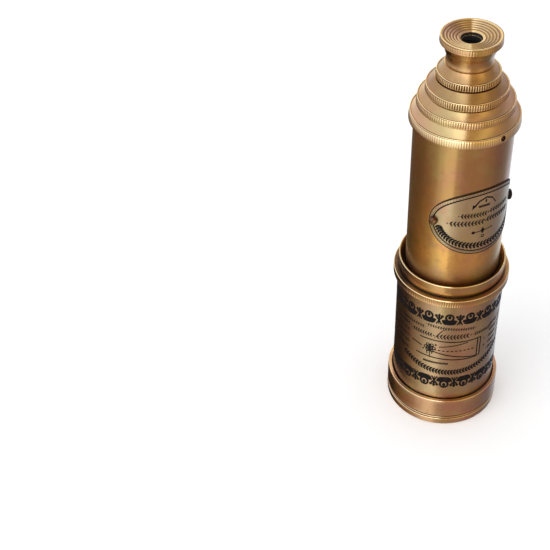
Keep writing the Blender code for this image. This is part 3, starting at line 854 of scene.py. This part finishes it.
def make_slide_collar(finishes):
    """The turned collar above the flange, which slides on the barrel."""
    collar, low, high = node_size("shade_collar")
    _, foot, top = node_size("shade_flange_ring")
    barrel = node_size("barrel_tube")[0]
    # Values below 0 paint shade into the groove above the flange and down the funnel to the barrel; the
    # top edge's value paints its highlight.
    profile = [
        (barrel + 0.15, low),
        (SLIDE_SPIGOT_RADIUS, low),
        (SLIDE_SPIGOT_RADIUS, foot, 0),
        (SLIDE_NECK_RADIUS, foot + 0.1, 0),
        (SLIDE_NECK_RADIUS, top - 0.15, 0, -1.3),
        (collar - 0.5, top - 0.05, 0, -1.4),
        (collar - 0.45, top + 0.75, 0.1, -0.9),
        (collar - 0.05, top + 1.2, 0.12, 0.3),
        (collar, top + 1.5, 0),
        (collar, high - 0.5, 0),
        (collar, high, 0.2, 1),
        (collar - 0.42, high, 0.14, 0.8),
        (barrel + 1.1, high - 0.8, 0, -0.3),
        (barrel + 0.7, high - 1.4, 0.1, -1.2),
        (barrel + 0.4, high - 1.7, 0.1, -1.5),
        (barrel + 0.15, high - 2.1, 0.1, -1.5),
    ]
    turned("shade_collar", "turned", profile, finishes["slide_brass"], "sunshade")


def make_dust_cap(finishes):
    """The cap, whose plug fits in the end ring."""
    radius, _, top = node_size("dust_cap")
    plug, bore = CAP_PLUG_RADIUS, CAP_PLUG_RADIUS - CAP_PLUG_WALL
    # The seam with the end ring and the bottom edge are painted as shade, and the edge above the seam as
    # a highlight.
    profile = [
        (0, 0, 0),
        (radius - 0.9, 0, 0),
        (radius - 0.35, 0, 0.15, -0.6),
        (radius - 0.05, 0.3, 0.15, 0.5),
        *bulge(radius, 0.7, CAP_SEAM - 0.5, 0.05),
        (radius - 0.08, CAP_SEAM - 0.12, 0.12, 1),
        (radius - 0.4, CAP_SEAM, 0.06, -1.3),
        (plug, CAP_SEAM, 0.05),
        (plug, top, 0.1),
        (bore, top, 0.1),
        (bore, CAP_SEAM - 0.2, 0.1),
        (0, CAP_SEAM - 0.2, 0),
    ]
    turned("dust_cap", "turned", profile, finishes["ring_brass"], "dust_cap")


# ---- Etched ornament ----
def turns(count):
    """Angles at even steps round a full turn."""
    return [2 * math.pi * i / count for i in range(count)]


def ellipse(u, v, half_width, half_height, count):
    """Points round an upright oval."""
    return [(u + half_width * math.cos(a), v + half_height * math.sin(a)) for a in turns(count)]


class Artwork:
    """Flat line work in millimetres: u runs round the tube and v is the height.

    Each shape is a list of points, its faces, and the closed rims that run round it.
    """

    def __init__(self):
        self.shapes = []

    def fill(self, outline):
        """The area inside a small outline."""
        order = list(range(len(outline)))
        self.shapes.append((outline, [order], [order]))

    def strip(self, left, right, closed=False):
        """The area between two lines that have the same number of points."""
        count = len(left)
        lefts = list(range(count))
        rights = list(range(count, 2 * count))
        steps = list(zip(lefts, lefts[1:] + lefts[:1]))
        if not closed:
            steps.pop()
        faces = [[i, count + i, count + j, j] for i, j in steps]
        rims = [rights, lefts[::-1]] if closed else [rights + lefts[::-1]]
        self.shapes.append((left + right, faces, rims))

    def stroke(self, points, width, closed=False, taper=False):
        """A line of that width. A tapered one is full in the middle and thin at its ends."""
        path = [Vector(p) for p in points]
        path = resample(path + path[:1])[:-1] if closed else resample(path)
        ends = [path[-1], path[0]] if closed else [path[0], path[-1]]
        befores, afters = ends[:1] + path[:-1], path[1:] + ends[1:]
        left, right = [], []
        for i, (before, p, after) in enumerate(zip(befores, path, afters)):
            way = (after - before).normalized()
            half = width / 2
            if taper:
                half *= 0.3 + 0.7 * math.sin(math.pi * i / (len(path) - 1))
            across = Vector((-way.y, way.x)) * half
            left.append(tuple(p + across))
            right.append(tuple(p - across))
        self.strip(left, right, closed)

    def dot(self, u, v, radius):
        self.fill(ellipse(u, v, radius, radius, 14))

    def ring(self, u, v, radius, width, count=16):
        self.stroke(ellipse(u, v, radius, radius, count), width, closed=True)

    def lozenge(self, u, v, half_width, half_height):
        self.fill(ellipse(u, v, half_width, half_height, 4))


def resample(path):
    """The same path with no step longer than ETCH_STEP."""
    points = [path[0]]
    for a, b in zip(path, path[1:]):
        count = max(1, math.ceil((b - a).length / ETCH_STEP))
        points += [a.lerp(b, i / count) for i in range(1, count + 1)]
    return points


def round_axis(radius, angle, height):
    """The point, in metres, at that radius, angle in radians and height."""
    return (radius * math.sin(angle) * MM, -radius * math.cos(angle) * MM, height * MM)


def wrap(name, art, radius, azimuth, height, finish, body, slot_name, unrolled=None):
    """Wraps artwork round a tube of that radius, as a thin solid pressed into the metal.

    u is measured round the tube at the unrolled radius, or else at its own.
    """
    coords, faces = [], []
    for points, tops, rims in art.shapes:
        first, count = len(coords), len(points)
        for r in (radius + ETCH_LIFT, radius + ETCH_LIFT - ETCH_DEPTH):
            for u, v in points:
                coords.append(round_axis(r, math.radians(azimuth) + u / (unrolled or radius), height + v))
        way = 1 if sum(signed_area([points[i] for i in top]) for top in tops) > 0 else -1
        for top in tops:
            faces.append([first + i for i in top[::way]])
            faces.append([first + count + i for i in top[::-way]])
        for rim in rims:
            rim = rim[::way]
            for i, j in zip(rim, rim[1:] + rim[:1]):
                faces.append((first + i, first + count + i, first + count + j, first + j))
    mesh = bpy.data.meshes.new(name)
    mesh.from_pydata(coords, [], faces)
    mesh.validate()
    place_piece(mesh, finish, body, slot_name)


class Motif:
    """Draws a unit ornament onto artwork, scaled and turned over for the lower band."""

    def __init__(self, art, u, v, scale, flip):
        self.art, self.u, self.v, self.scale, self.flip = art, u, v, scale, flip

    def at(self, points):
        return [(self.u + u * self.scale, self.v + self.flip * v * self.scale) for u, v in points]

    def strip(self, left, right):
        self.art.strip(self.at(left), self.at(right))

    def stroke(self, points, width, closed=False):
        self.art.stroke(self.at(points), width * self.scale, closed=closed)

    def blob(self, u, v, half_width, half_height):
        self.art.fill(self.at(ellipse(u, v, half_width, half_height, 20)))


def arch_motif(motif):
    """A ring with a black drop hanging inside, in a thick black bowl with two horns."""
    upper, lower = [], []
    for i in range(-16, 17):
        t = i / 16
        u, v = 2.7 * t, -2.6 + 0.25 * t * t + 1.9 * abs(t) ** 6
        ring_side = 0.6 - 1.5 * math.sqrt(max(0.0, 1 - (u / 1.6) ** 2))
        horn = -0.15 - 0.25 * (abs(u) - 1.5)
        lower.append((u, v))
        upper.append((u, max(v + 0.04, ring_side if abs(u) < 1.2 else horn)))
    motif.strip(upper, lower)
    motif.stroke(ellipse(0, 0.75, 1.26, 1.45, 28), 0.74, closed=True)
    motif.blob(0, 0.95, 0.56, 0.74)
    motif.stroke([(0, 1.4), (0, 2.2)], 0.5)


def fleur_motif(motif):
    """Three black buds on a thick stem that stands on parted legs."""
    motif.blob(0, 1.4, 0.46, 0.9)
    motif.stroke([(0, 1.2), (0, -1.2)], 0.75)
    for side in (-1, 1):
        motif.blob(side * 1.02, 1.25, 0.52, 0.58)
        motif.stroke([(side * 0.95, 1.0), (side * 0.6, 0.2), (0, -0.3)], 0.62)
        motif.stroke([(0, -0.2), (side * 0.3, -1.3), (side * 0.9, -2.5)], 0.56)
    motif.stroke([(0, -1.0), (0, -2.6)], 0.3)


def ornament_band(radius, low, high, flip):
    """A band of arches and fleurs all round the sleeve."""
    art = Artwork()
    pitch = 2 * math.pi * radius / MOTIFS
    middle, scale = (low + high) / 2, (high - low) / MOTIF_HEIGHT
    for i in range(MOTIFS):
        arch_motif(Motif(art, i * pitch, middle, scale, flip))
        fleur_motif(Motif(art, (i + 0.5) * pitch, middle, scale, flip))
    return art


def leaf(art, root, tip, width):
    """A black almond-shaped leaf."""
    across = Vector((root.y - tip.y, tip.x - root.x)).normalized() * width / 2
    fatness = ((0.25, 0.8), (0.5, 1.0), (0.78, 0.6))
    near = [root.lerp(tip, t) - across * fat for t, fat in fatness]
    far = [root.lerp(tip, t) + across * fat for t, fat in fatness]
    art.fill([root, *near, tip, *far[::-1]])


def laurel(art, curve, pairs, length, width, stem):
    """Pairs of leaves along a curve, which gives a point for a share from 0 to 1."""
    path = [Vector(curve(i / (2 * pairs))) for i in range(2 * pairs + 1)]
    art.stroke(path, stem)
    for i in range(1, 2 * pairs, 2):
        along = (path[i + 1] - path[i - 1]).normalized()
        across = Vector((-along.y, along.x))
        root = path[i] - along * 0.2 * length
        for side in (-1, 1):
            leaf(art, root, root + (along * 0.62 + across * 0.78 * side) * length, width)


def along_row(start, end, height_at):
    """The curve that runs from one u to another at the height given for each u."""

    def curve(share):
        u = start + (end - start) * share
        return (u, height_at(u))

    return curve


def laurel_row(art, start, end, height_at, size):
    """A heavy laurel row along a curve of height against u."""
    pairs = round((end - start) / (0.36 * size))
    laurel(art, along_row(start, end, height_at), pairs, 0.6 * size, 0.27 * size, 0.1 * size)


def sprig_row(art, start, end, height_at, size):
    """A lighter row of slender leaves, with a berry at each end."""
    pairs = max(3, round((end - start) / (0.22 * size + 0.55)))
    laurel(art, along_row(start, end, height_at), pairs, 0.5 * size + 0.25, 0.17 * size + 0.1, 0.14)
    for u in (start - 0.25 * size, end + 0.3 * size):
        art.dot(u, height_at(u), 0.1 * size)


def dashed(art, start, end, height, dash, width):
    """A level row of dashes."""
    count = round((end - start) / (dash * 1.7))
    step = (end - start) / count
    for i in range(count):
        u = start + i * step
        art.stroke([(u, height), (u + step * 0.58, height)], width)


def line(art, start, end, height_at, width):
    """A line along a curve of height against u."""
    count = max(2, math.ceil((end - start) / ETCH_STEP))
    curve = along_row(start, end, height_at)
    art.stroke([curve(i / count) for i in range(count + 1)], width)


def compass_star(art, u, v, radius, points=8, rings=True):
    """A compass card: long and short points, each half filled, inside a double ring."""
    for i, a in enumerate(turns(points)):
        reach = radius * (1.0 if i % 2 == 0 else 0.62)
        tip = (u + reach * math.sin(a), v + reach * math.cos(a))
        for side in (-1, 1):
            b = a + side * math.pi / points
            waist = (u + radius * 0.2 * math.sin(b), v + radius * 0.2 * math.cos(b))
            if side > 0:
                art.fill([(u, v), waist, tip])
            else:
                art.stroke([(u, v), waist, tip], radius * 0.035)
    if rings:
        for share in (0.74, 0.82):
            art.ring(u, v, radius * share, radius * 0.03, 40)


def knot(art, u, v, size):
    """Loops of cord round a dot, with loose ends that hang below."""
    middle = Vector((u, v))
    for lean in (-62, 0, 62):
        turn = Matrix.Rotation(math.radians(lean), 2)
        loop = [middle + turn @ Vector(p) * size for p in ellipse(0, 0, 0.95, 0.42, 20)]
        art.stroke(loop, size * 0.17, closed=True)
    for side, drop in ((-0.5, -1.5), (0.05, -2.2), (0.5, -1.3)):
        cord = ((0, -0.3), (side, -0.9), (side * 0.7, drop))
        art.stroke([middle + Vector(p) * size for p in cord], size * 0.16)
    for x, y, radius in ((0, 0, 0.3), (-1.1, -0.6, 0.16), (0.95, 0.85, 0.18)):
        art.dot(u + x * size, v + y * size, radius * size)


def front_panel(art):
    """The drawing on the sleeve's front: a tapering tube with a cord, dashes and end bars."""
    line(art, -8.8, 13.8, lambda u: 40.9 - 0.02 * (u - 13.8), 0.46)
    line(art, -1.6, 8.6, lambda u: 38.3 + 0.2 * (u + 1.6), 0.38)
    dashed(art, -3.4, 11.6, 36.6, 0.85, 0.46)
    line(art, -3.8, 12.6, lambda u: 35.7 - 0.215 * (u + 3.8), 0.46)
    line(art, -10.0, 12.6, lambda u: 33.1 - 0.055 * (u + 10), 0.46)
    line(art, -12.0, -8.0, lambda u: 37.8 - 0.05 * (u + 12) ** 2, 0.46)
    for u in (12.45, 13.7):
        art.stroke([(u, 31.9), (u, 40.7)], 0.46)
    art.stroke([(12.45, 32.0), (13.7, 32.0)], 0.3)
    knot(art, -4.9, 37.2, 2.2)
    art.dot(15.4, 39.0, 0.28)
    art.lozenge(15.6, 35.6, 0.3, 0.7)


def garland(middle):
    """The heights of a row that hangs lowest at middle."""
    return lambda u: 25.9 + 0.0128 * (u - middle) ** 2


def sleeve_front(art):
    """Rows, stars and the drawing between the two bands, on the side that faces -Y."""
    sprig_row(art, -17.5, -7.5, lambda u: 46.6, 1.5)
    sprig_row(art, -6.4, 10.4, lambda u: 48.2 - 0.09 * (u + 6.4), 1.5)
    sprig_row(art, -3.0, 8.6, lambda u: 43.5 + 0.02 * u, 2.7)
    art.stroke([(-3.6, 42.2), (-2.6, 43.8), (-1.0, 46.2), (0.3, 47.2)], 0.36, taper=True)
    sprig_row(art, -12.0, -4.4, lambda u: 43.6, 2.0)
    sprig_row(art, 10.6, 18.4, lambda u: 43.5, 1.6)
    front_panel(art)
    laurel_row(art, -7.2, 2.0, lambda u: 30.3, 1.1)
    laurel_row(art, -15.6, 24.5, garland(2.5), 3.0)
    for v in (33.5, 36.4, 39.3, 42.2, 45.1):
        compass_star(art, 24.0, v, 1.5, rings=False)
        sprig_row(art, 17.6, 22.0, lambda u: v - 0.6, 1.7)
        sprig_row(art, -19.5, -13.6, lambda u: v - 0.8, 1.7)


def sleeve_back(art, back):
    """A compass card between rows, round the u at back."""
    compass_star(art, back, 36.8, 9.4, points=16)
    for middle in (back - 17.5, back + 17.5):
        for v in (41.4, 36.8, 32.2):
            sprig_row(art, middle - 6.5, middle + 6.5, lambda u: v, 2.7)
    sprig_row(art, back - 26, back + 26, lambda u: 47.2, 1.6)
    laurel_row(art, back - 26, back + 26, garland(back), 2.8)


def make_etching(finishes):
    """The sleeve's two ornament bands and the line work between them."""
    radius = node_size("shade_sleeve")[0]
    rest = (finishes["etching"], "sunshade", "etched_brass")
    for name, (low, high), flip in (("upper", UPPER_BAND, 1), ("lower", LOWER_BAND, -1)):
        wrap(f"sleeve_band_{name}", ornament_band(radius, low, high, flip), radius, FIRST_MOTIF, 0, *rest)
    art = Artwork()
    sleeve_front(art)
    sleeve_back(art, math.pi * radius)
    wrap("sleeve_line_work", art, radius, 0, 0, *rest)


# ---- Name plate ----
@functools.cache
def plate_centre():
    low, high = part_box("name_plate")
    return (low.z + high.z) / 2 / MM


def oval(inset, angle):
    """A point of the plate's outline, drawn in by inset."""
    return ((PLATE_HALF_WIDTH - inset) * math.cos(angle), (PLATE_HALF_HEIGHT - inset) * math.sin(angle))


def plate_mesh(barrel):
    """The oval plate, curved to the barrel, with a rounded edge."""
    face = barrel + PLATE_THICKNESS
    rings = [(0.97 * i / PLATE_FACE_RINGS, 0.0, face, 0.0) for i in range(PLATE_FACE_RINGS)]
    rings += [(1.0, inset, face - drop, worn) for inset, drop, worn in PLATE_EDGE]
    rings += [(share, 0.0, barrel, 0.0) for share in (0.8, 0.6, 0.4, 0.2, 0.0)]
    middle = math.radians(PLATE_AZIMUTH)
    coords, wear_and_painted_light = [], []
    for share, inset, radius, worn in rings:
        halves = (share * PLATE_HALF_WIDTH - inset, share * PLATE_HALF_HEIGHT - inset)
        outline = ellipse(0, 0, *halves, PLATE_POINTS)
        coords.append([round_axis(radius, middle + u / barrel, plate_centre() + v) for u, v in outline])
        wear_and_painted_light.append([worn] * PLATE_POINTS)
    return ringed_mesh("name_plate_engraved", np.array(coords), np.array(wear_and_painted_light), False, 45)


def wreath(share):
    """The curve of the wreath along the plate's lower edge."""
    angle = math.radians(-172 + 163 * share)
    return oval(3.65 - 0.45 * abs(math.cos(angle)), angle)


def plate_artwork():
    """A roped border, a wreath along the lower edge, and sprigs and figures in the middle."""
    art = Artwork()
    for inset, width in ((0.16, 0.28), (1.5, 0.44)):
        art.stroke([oval(inset, a) for a in turns(140)], width, closed=True)
    for a in turns(96):
        art.stroke([oval(0.55, a), oval(1.15, a + 0.04)], 0.05)
    laurel(art, wreath, 34, 1.75, 0.8, 0.3)
    sprig_row(art, -11.8, -0.6, lambda u: 0.2, 2.4)
    sprig_row(art, 0.2, 10.2, lambda u: 0.7 - 0.05 * u, 2.4)
    sprig_row(art, -8.5, 0.2, lambda u: 3.4, 2.1)
    sprig_row(art, 1.2, 9.8, lambda u: 3.7, 2.1)
    laurel_row(art, -3.0, 1.0, lambda u: 6.7, 1.1)
    sweep = [(-4.4, 6.9), (-2.7, 9.0), (-0.4, 10.0), (1.7, 9.1), (3.4, 6.6)]
    art.stroke(sweep[:4], 0.55)
    art.stroke(sweep[3:], 0.34)
    art.fill([(-5.0, 5.8), (-3.6, 7.2), (-4.9, 7.7)])
    art.lozenge(-0.5, 8.6, 0.34, 0.9)
    art.stroke([(-3.9, -3.8), (2.7, -3.3)], 0.30)
    art.dot(-3.9, -3.8, 0.60)
    art.dot(2.7, -3.3, 0.30)
    art.lozenge(-0.7, -3.5, 0.75, 1.35)
    art.ring(-0.5, -5.9, 0.45, 0.3)
    return art


def make_plate(finishes):
    """The name plate, its line work and its two domed screws."""
    barrel = node_size("barrel_tube")[0]
    face = barrel + PLATE_THICKNESS
    place_piece(plate_mesh(barrel), finishes["plate_brass"], "barrel", "plate_brass", "name_plate")
    rest = (finishes["etching"], "barrel", "plate_brass", barrel)
    wrap("plate_line_work", plate_artwork(), face, PLATE_AZIMUTH, plate_centre(), *rest)

    reach = math.degrees(PLATE_SCREW_OFFSET / barrel)
    for node, side, size, slot_turn, finish in (
        ("plate_screw_left", -1, 1.45, 62, "screw_brass"),
        # The right screw takes the shaded copy: painted shade.
        ("plate_screw_right", 1, 1.78, 90, "shaded_screw"),
    ):
        arc = [math.radians(12 * i) for i in range(8)]
        dome = [(size * math.cos(a), 0.62 + 0.85 * math.sin(a), 0) for a in arc]
        # The dome's foot is painted as shade where it meets the plate.
        profile = [(0, -1.2, 0), (0.8, -1.2), (0.8, 0, 0), (size, 0, 0.05, -1), *dome, (0, 1.47, 0)]
        place = radial(PLATE_AZIMUTH + side * reach, face, plate_centre())
        slot = ((5.0, 0.42, 1.1), 1.4, slot_turn)
        fit_screw(node, profile, SCREW_SEGMENTS, place, finishes[finish], *slot)


# ---- CAD nodes that stay ----
def finish_cad_nodes(finishes):
    """Gives every CAD node that still shows its procedural finish, by its record's slot."""
    slots = {part["node"]: part["material_slot"] for part in frame["record"]["subparts"]}
    for name, obj in frame["nodes"].items():
        if obj.hide_render:
            continue
        for material_slot in obj.material_slots:
            material_slot.material = finishes[slots[name]]


# ---- Stage ----
def make_floor(finishes):
    """The floor that the telescope stands on. It stays under the dust cap at every pose."""
    mesh = bpy.data.meshes.new("floor")
    half = 3.0  # metres
    corners = [(x * half, y * half, 0) for x, y in ((-1, -1), (1, -1), (1, 1), (-1, 1))]
    mesh.from_pydata(corners, [], [(0, 1, 2, 3)])
    mesh.materials.append(finishes["floor"])
    floor = bpy.data.objects.new("floor", mesh)
    bpy.context.scene.collection.objects.link(floor)
    floor.parent = frame["bodies"]["dust_cap"]
    floor.visible_glossy = False


def table_shade(nodes, rise, around):
    """How brightly the table reflects, as a factor.

    It is dark low on the left and, lower still, on the right, and bright again nearly
    straight below on the left.
    """
    on_left = nodes.remap(around, 0.25, 0.15)
    left = nodes.times(nodes.remap(rise, -0.58, -0.68), on_left)
    right = nodes.times(nodes.remap(rise, -0.72, -0.76), nodes.remap(around, 0.80, 0.88))
    under = nodes.times(nodes.remap(rise, -0.80, -0.90), on_left)
    dark = nodes.plus(nodes.times(left, 0.93), nodes.times(right, 0.72))
    return nodes.plus(nodes.minus(1.0, dark), nodes.times(under, 2.2))


def hump(nodes, value, middle, reach):
    """1 where the value is at the middle, falling to 0 at that distance from it."""
    away = nodes.maths("DIVIDE", nodes.maths("ABSOLUTE", nodes.minus(value, middle)), reach)
    return nodes.maths("MAXIMUM", nodes.minus(1.0, nodes.times(away, away)), 0.0)


def make_world():
    """A white studio. The metal sees soft bright and dark screens all round it."""
    world = bpy.data.worlds.new("studio")
    bpy.context.scene.world = world
    world.use_nodes = True
    world.node_tree.nodes.clear()
    nodes = Nodes(world.node_tree)
    split = nodes.add("SeparateXYZ", {0: nodes.add("TexCoord").outputs["Generated"]})
    rise = split.outputs["Z"]
    # 0.5 is the -Y side, where the camera stands. Below 0.5 is the viewer's left.
    azimuth = nodes.maths("ARCTAN2", split.outputs["X"], nodes.times(split.outputs["Y"], -1.0))
    around = nodes.plus(nodes.maths("DIVIDE", azimuth, 2 * math.pi), 0.5)

    low, high = nodes.ramp(around, LOW_SCREENS), nodes.ramp(around, HIGH_SCREENS)
    colour = nodes.mix(nodes.remap(rise, -0.54, -0.26), low, high)
    strip = nodes.times(hump(nodes, rise, 0.13, 0.17), hump(nodes, around, 0.5, 0.2))
    strength = nodes.plus(SCREEN_STRENGTH, nodes.times(strip, HORIZON_STRIP))
    strength = nodes.times(strength, table_shade(nodes, rise, around))
    reflected = nodes.add("Background", {"Color": colour, "Strength": strength}).outputs[0]
    plain = nodes.add("Background", {"Color": (1, 1, 1, 1), "Strength": ROOM_STRENGTH}).outputs[0]
    glossy = nodes.add("LightPath").outputs["Is Glossy Ray"]
    chosen = nodes.add("MixShader", {0: glossy, 1: plain, 2: reflected}).outputs[0]
    nodes.add("OutputWorld", {0: chosen})


def make_lights():
    """One broad soft lamp over the viewer's left shoulder, for the faint shadow."""
    lamp = bpy.data.lights.new("soft_lamp", "AREA")
    lamp.shape = "DISK"
    lamp.size = 0.9
    lamp.energy = 3.5
    light = bpy.data.objects.new("soft_lamp", lamp)
    light.location = (-0.55, -0.55, 1.1)
    aim = Vector((0, 0, 0.06)) - light.location
    light.rotation_euler = aim.to_track_quat("-Z", "Y").to_euler()
    light.visible_glossy = False
    bpy.context.scene.collection.objects.link(light)


def make_camera():
    data = bpy.data.cameras.new("camera")
    data.lens = CAMERA_LENS
    data.clip_start = 0.01
    camera = bpy.data.objects.new("camera", data)
    turn = Euler((math.radians(90 - CAMERA_PITCH), 0, math.radians(-CAMERA_YAW))).to_matrix().to_4x4()
    roll = Matrix.Rotation(math.radians(CAMERA_ROLL), 4, "Z")
    camera.matrix_world = Matrix.Translation(Vector(CAMERA_PLACE) * MM) @ turn @ roll
    bpy.context.scene.collection.objects.link(camera)
    bpy.context.scene.camera = camera


def main():
    scene = bpy.context.scene
    scene.view_settings.view_transform = "Standard"
    make_camera()
    finishes = make_finishes()
    for make in (
        make_dust_cap,
        make_sleeve,
        make_end_ring,
        make_flange,
        make_slide_collar,
        make_barrel_and_draws,
        make_eyepiece,
        make_plate,
        make_etching,
        finish_cad_nodes,
        make_floor,
    ):
        make(finishes)
    make_world()
    make_lights()


main()
